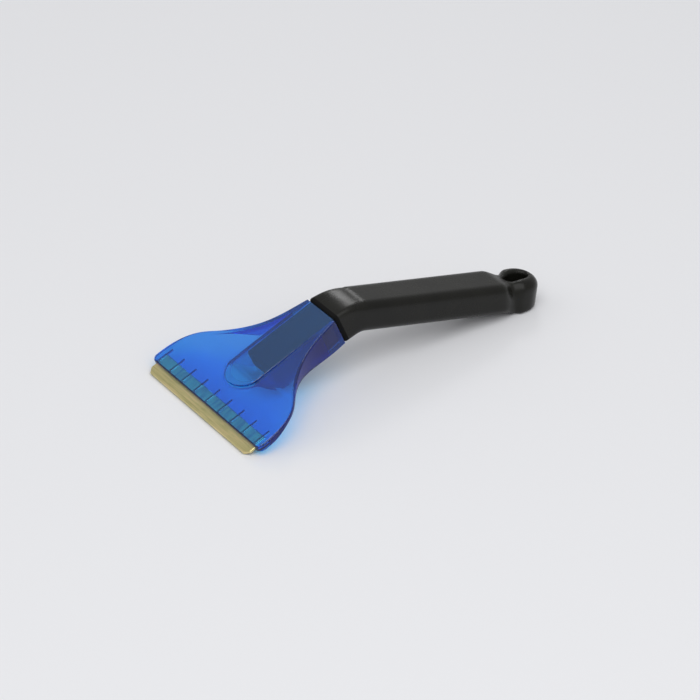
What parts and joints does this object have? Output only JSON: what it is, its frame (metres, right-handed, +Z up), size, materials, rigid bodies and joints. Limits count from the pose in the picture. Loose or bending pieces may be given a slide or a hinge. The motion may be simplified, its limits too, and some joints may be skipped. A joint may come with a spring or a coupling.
{
  "type": "ice scraper",
  "caption": "Hand-held ice scraper: flared clear blue plastic head with a brass blade strip, on a bent matt black handle with an oval hanging eye.",
  "frame": {"origin": "middle of the scraper's footprint, on the surface where it lies on its blade's cutting edge and the underside of its hanging eye", "axes": "+X from the blade's cutting edge to the hanging eye, +Y across the blade, +Z up from the surface"},
  "size_m": [0.2068, 0.1002, 0.039],
  "materials": {
    "clear_blue_plastic": "clear, tinted blue, polished",
    "brass": "rolled strip, dull and lightly streaked",
    "black_plastic": "fine matt grain"
  },
  "bodies": {
    "root": {"scraper_head": "clear_blue_plastic", "brass_blade": "brass", "handle": "black_plastic"}
  },
  "joints": []
}
